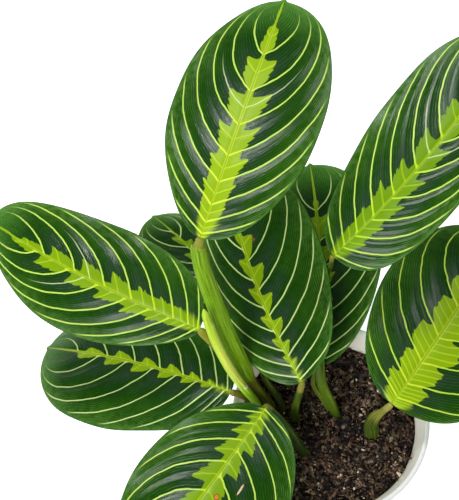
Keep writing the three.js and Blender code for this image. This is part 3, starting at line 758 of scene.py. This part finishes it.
def blade_top(name, leaf):
    """Satin dark green, slate between the veins beside the lime band and lighter towards the margin and the
    tip, with pale side veins. Each mark is a ragged oval with a brown rim."""
    finish = Finish("blade_top_" + name, IOR=1.42, Specular_IOR_Level=0.24)
    m = leaf_pattern(finish, leaf)
    place = finish.place()
    cloud = finish.noise(place, 55, 3.0)
    patch = finish.noise(m["seat"], 0.7, 3.0)
    tip = m["t"].ramp(0.78, 1.0)

    def bright(low, high):
        return between(low, high, leaf["lime"])

    green = finish.blend("0f3e00", "2b5a06", (m["out"] * 0.7 + (cloud - 0.5) * 1.1).ramp(0.15, 1.0))
    green = finish.blend(green, "2a3f30", m["beside"] * (0.2 + 0.9 * patch))
    rim = (m["out"].ramp(0.9, 1.0) * 0.4).most(tip * 0.9)
    green = finish.blend(green, "46802a", rim * (0.6 + 0.6 * patch))
    green = finish.blend(green, "86b45c", m["faint"] * (0.12 + 0.36 * tip.most(m["out"].ramp(0.6, 1.0))))
    lime = finish.blend(bright("648c00", "85a902"), bright("7ba604", "9fc40a"), cloud)
    lime = finish.blend(lime, bright("aed018", "cce63c"), m["veinlet"] * 0.55)
    lime = finish.blend(lime, "6ea018", tip * 0.75)
    colour = finish.blend(green, lime, m["band"])
    colour = finish.blend(colour, "cfe2a4", m["stray"] * 0.8)
    pale = finish.blend(leaf["band"]["vein"], bright("bcdc1e", "d4ea3c"), m["band"])
    pale = finish.blend(pale, "8eb654", tip * 0.8)
    colour = finish.blend(colour, pale, m["vein"])
    colour = finish.blend(colour, bright("a8cc18", "c4de34"), m["midrib"] * 0.6)
    colour = finish.blend(colour, "7c941a", m["groove"] * 0.7)
    for along, reach, long, wide, tone in leaf.get("marks", ()):
        away = (((m["t"] - along) / long) ** 2 + ((m["reach"] - reach) / wide) ** 2) ** 0.5
        away = away + (cloud - 0.5) * 1.4
        colour = finish.blend(colour, "5e3c1c", away.ramp(1.25, 1.05))
        colour = finish.blend(colour, tone, away.ramp(1.0, 0.8))
    colour = finish.blend(colour, "33421e", m["out"].ramp(0.985, 0.996) * 0.7)
    grain = finish.noise(place, 2600, 2.0)
    rough = 0.11 + 0.18 * patch + 0.14 * m["band"] + 0.10 * (grain - 0.5)
    height = 0.5 * m["vein"] + 0.3 * m["faint"] + 0.3 * m["veinlet"] * m["band"] + 0.3 * grain + 0.6 * patch
    return finish.wear(colour, rough, height, 0.00022)


def blade_under(name, leaf):
    """Pale grey-green with the veins showing through."""
    finish = Finish("blade_under_" + name)
    m = leaf_pattern(finish, leaf)
    cloud = finish.noise(finish.place(), 90, 3.0)
    colour = finish.blend("6f8f6a", "87a27c", cloud)
    colour = finish.blend(colour, "a9c37a", m["band"] * 0.6)
    colour = finish.blend(colour, "c6d6a4", m["vein"].most(m["midrib"]))
    height = m["vein"] * 0.6 + m["faint"] * 0.3 + cloud * 0.2
    return finish.wear(colour, 0.5 + 0.12 * cloud, height, 0.0003)


def stalk_finish(name, look, length):
    """Fine lengthwise lines over a colour that turns from the foot's to the upper stalk's, then to the
    joint's under the leaf."""
    finish = Finish("stalk_skin_" + name, IOR=1.42, Specular_IOR_Level=0.22)
    x, y = finish.uv()
    lines = finish.noise(finish.vector(x * 58, y * 5), 1.0, 3.0)
    dots = finish.noise(finish.place(), 420, 3.0)
    millimetres = y * 100
    turned = (millimetres + (dots - 0.5) * 8).ramp(*look["turn"])
    colour = finish.blend(look["foot"], look["upper"], turned)
    colour = finish.blend(colour, "b9cc4c", lines.ramp(0.52, 0.68) * 0.32)
    colour = finish.blend(colour, "1e3008", (1 - lines).ramp(0.48, 0.68) * 0.55)
    colour = finish.blend(colour, "1d2a0c", dots.ramp(0.55, 0.75) * 0.25)
    joint = length - look["joint_length"]
    colour = finish.blend(colour, look["joint"], millimetres.ramp(joint - 1.5, joint + 1) * 0.85)
    height = 0.7 * lines + 0.3 * dots
    return finish.wear(colour, 0.36 + 0.14 * dots, height, 0.00025, 0.55)


def rolled_finish():
    """Lime green with thin veins along the roll, paler and yellower in its middle, with a torn pale edge low
    on its right, where the sheath starts."""
    finish = Finish("rolled_leaf_skin", IOR=1.42, Specular_IOR_Level=0.22)
    x, y = finish.uv()
    millimetres = y * 100
    lines = finish.noise(finish.vector(x * 34, y * 5), 1.0, 2.0)
    colour = finish.blend("86b80c", "dcec5c", (millimetres + (lines - 0.5) * 8).ramp(44, 54))
    colour = finish.blend(colour, "b8dc2a", millimetres.ramp(70, 92) * 0.9)
    colour = finish.blend(colour, "e4ee8a", lines.ramp(0.5, 0.68) * 0.4)
    colour = finish.blend(colour, "8cb414", (1 - lines).ramp(0.52, 0.72) * 0.45)
    colour = finish.blend(colour, "a4d22a", (0.12 - abs(x - 0.45)).ramp(0, 0.06) * 0.6)
    torn = 1 - abs(millimetres - 46 - (lines - 0.5) * 4).ramp(0.4, 1.6)
    torn = torn * (1 - abs(x - 0.13).ramp(0.06, 0.14))
    colour = finish.blend(colour, "ece6c4", torn)
    return finish.wear(colour, 0.34 + 0.12 * lines, lines, 0.0003)


def earth_finish(name, dark, light, scale):
    """Matt earth, mottled between two colours."""
    finish = Finish(name, Specular_IOR_Level=0.15)
    place = finish.place()
    patch = finish.noise(place, scale, 4.0, 0.62)
    fleck = finish.cells(place, scale * 2.1)
    colour = finish.blend(dark, light, patch.ramp(0.4, 0.68))
    return finish.wear(colour, 0.8 + 0.15 * patch, patch + 0.4 * fleck, 0.0006, 0.7)


def pot_finish():
    """White moulded plastic, slightly uneven, with a trace of soil dust inside and a painted glow there,
    a faint emission that stands in for daylight coming through the thin wall. Inside is where a spot is
    nearer the axis than the middle of the wall at its height."""
    finish = Finish("pot_plastic", IOR=1.46, Emission_Strength=0.2)
    place = finish.place()
    parts = finish.node("ShaderNodeSeparateXYZ", {}, {0: place})
    x, y, z = (Wire(finish, parts.outputs[i]) for i in range(3))
    middle = (wall_radius(0) - WALL / 2) * MM + (wall_radius(1) - wall_radius(0)) * z
    inside = (middle - (x * x + y * y) ** 0.5).ramp(0, 0.0004) * z.ramp(0.06, 0.075)
    dust = finish.noise(place, 240, 4.0, 0.6)
    colour = finish.blend("eceeec", "e2e4e1", finish.noise(place, 30))
    colour = finish.blend(colour, "e6e2d4", inside * (0.2 + 0.6 * dust))
    # Painted light: the inside of the wall glows faintly (emission strength 0.2, set above), standing in for
    # light coming through the plastic.
    finish.put(finish.shader.inputs["Emission Color"], finish.blend("000000", "efe6d2", inside))
    return finish.wear(colour, 0.3 + 0.14 * dust, finish.noise(place, 900), 0.0001, 0.3)


# ---------------------------------------------------------------- the plant

for name, leaf in LEAVES.items():
    made = blade(name, leaf, [blade_top(name, leaf), blade_under(name, leaf)])
    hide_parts("leaf_" + name)
    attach(made, "root")

# Each stalk's colours, the millimetres from its lower end over which the foot's turns to the upper one, and
# the length of the joint.
STALK_LOOKS = {
    "top": dict(foot="5a5a16", upper="7aa804", joint="8d8a34", turn=(40, 47), joint_length=4.5),
    "upper_left": dict(foot="4a6a18", upper="75831f", joint="9a9a34", turn=(30, 60), joint_length=9),
    "lower_left": dict(foot="55591f", upper="8a8338", joint="95893c", turn=(16, 30), joint_length=6),
    "front": dict(foot="23380f", upper="35531a", joint="6f7a2c", turn=(14, 40), joint_length=4),
    "centre": dict(foot="33480e", upper="3f5812", joint="8f8838", turn=(12, 30), joint_length=6),
    "back_left": dict(foot="343e10", upper="4e5f18", joint="6f7a2c", turn=(12, 30), joint_length=4),
    "back": dict(foot="3e5010", upper="5c6c1e", joint="8d8a4c", turn=(12, 20), joint_length=4),
    "upper_right": dict(foot="2c450a", upper="4f6c0c", joint="948f3a", turn=(14, 24), joint_length=9),
    "lower_right": dict(foot="45591c", upper="8b8a3c", joint="a39c50", turn=(23, 34), joint_length=5),
}
for name, stalk in STALKS.items():
    through = stalk["through"] + (LEAVES[name]["base"],)
    width = stalk["width"] + (stalk["width"][-1] * 0.7,)
    steps = np.diff(smooth_path(through)[0], axis=0)
    length = float(np.linalg.norm(steps, axis=1).sum())
    skin = stalk_finish(name, STALK_LOOKS[name], length)
    made = sweep("stalk_skin_" + name, dict(stalk, through=through, width=width), ribbed, skin)
    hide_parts("stalk_" + name)
    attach(made, "root")

young = sweep("rolled_leaf", ROLLED_LEAF, rolled, rolled_finish(), sides=ROLL_SIDES)
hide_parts("new_leaf")
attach(young, "root")

shell = pot(pot_finish())
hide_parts("pot")
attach(shell, "root")

bed = soil(earth_finish("soil_bed_earth", "050303", "2c2018", 420))
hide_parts("soil")
EARTHS = {
    "crumb": ("2a201a", "96836f", 500),
    "dark": ("080505", "453a34", 500),
    "bark": ("281c15", "7a604c", 600),
    "shard": ("35241a", "a08468", 600),
    "chip": ("9a8062", "efdfc2", 900),
    "perlite": ("c8b898", "f4ead4", 900),
    "fibre": ("6a5038", "c8aa82", 800),
}
earth = {key: earth_finish(key + "_earth", *look) for key, look in EARTHS.items()}
strewn = [
    bed,
    lumps("soil_crumbs", 1400, (0.4, 2.4), (1, 0.7, 0.5), 11, earth["crumb"]),
    lumps("dark_crumbs", 1500, (0.5, 2.6), (1, 0.8, 0.6), 16, earth["dark"]),
    lumps("clods", 150, (1.5, 5.0), (1, 0.75, 0.5), 18, earth["dark"], 0.45, 38.5),
    lumps("brown_clods", 80, (1.3, 3.8), (1, 0.6, 0.4), 19, earth["crumb"], 0.45, 39.5),
    lumps("bark_bits", 520, (1.2, 5.4), (1, 0.32, 0.16), 12, earth["bark"], 0.2),
    lumps("bark_shards", 320, (0.9, 3.6), (1, 0.2, 0.1), 17, earth["shard"], 0.1),
    lumps("pale_chips", 520, (0.3, 1.3), (1, 0.6, 0.4), 15, earth["chip"], 0.05),
    lumps("perlite_grains", 110, (0.35, 1.4), (1, 0.9, 0.8), 13, earth["perlite"], 0.1),
    fibres("root_fibres", 240, 14, earth["fibre"]),
]
for made in strewn:
    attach(made, "root")

# ---------------------------------------------------------------- floor, light and camera

paper = Finish("floor_paper", Emission_Color=(1, 1, 1, 1), Emission_Strength=0.7)
white = paper.blend("fafafa", "f6f6f6", paper.noise(paper.place(), 3))
corners = [(x * FLOOR_REACH, y * FLOOR_REACH, 0) for x, y in ((-1, -1), (1, -1), (1, 1), (-1, 1))]
floor = piece("floor", corners, [[0, 1, 2, 3]], [paper.wear(white, 0.9)])
floor.location.z = -0.0002


def softbox(name, place, aim, size, power):
    """A square area light at a place, turned to face a point."""
    data = bpy.data.lights.new(name, "AREA")
    data.size, data.energy = size, power
    lamp = bpy.data.objects.new(name, data)
    lamp.location = place
    away = np.array(place) - np.array(aim)
    away = away / np.linalg.norm(away)
    tilt, spin = math.acos(away[2]), math.atan2(away[0], -away[1])
    lamp.rotation_euler = (tilt, 0, spin)
    bpy.context.scene.collection.objects.link(lamp)


MIDDLE = (-0.02, 0.03, 0.1)
softbox("rear_left", (-0.345, 0.59, 1.226), MIDDLE, 0.22, 5)
softbox("rear_right", (0.51, 0.67, 1.1), MIDDLE, 0.3, 2)
softbox("front", (-0.6, -0.8, 1.2), MIDDLE, 0.7, 18)

world = bpy.data.worlds.new("studio")
bpy.context.scene.world = world
world.use_nodes = True
background = world.node_tree.nodes["Background"].inputs
background[0].default_value = (1, 1, 1, 1)
background[1].default_value = 0.16
bpy.context.scene.view_settings.view_transform = "Standard"

FOCAL_PIXELS, PICTURE_LONG_SIDE, SENSOR = 900.0, 500.0, 36.0
CAMERA_PLACE = (-51.34, -124.47, 536.24)
CAMERA_DIP = 64.02
camera = bpy.data.objects.new("camera", bpy.data.cameras.new("camera"))
camera.data.sensor_width = SENSOR
camera.data.lens = FOCAL_PIXELS * SENSOR / PICTURE_LONG_SIDE
camera.location = [c * MM for c in CAMERA_PLACE]
camera.rotation_euler = (math.radians(90 - CAMERA_DIP), 0, 0)
bpy.context.scene.collection.objects.link(camera)
bpy.context.scene.camera = camera
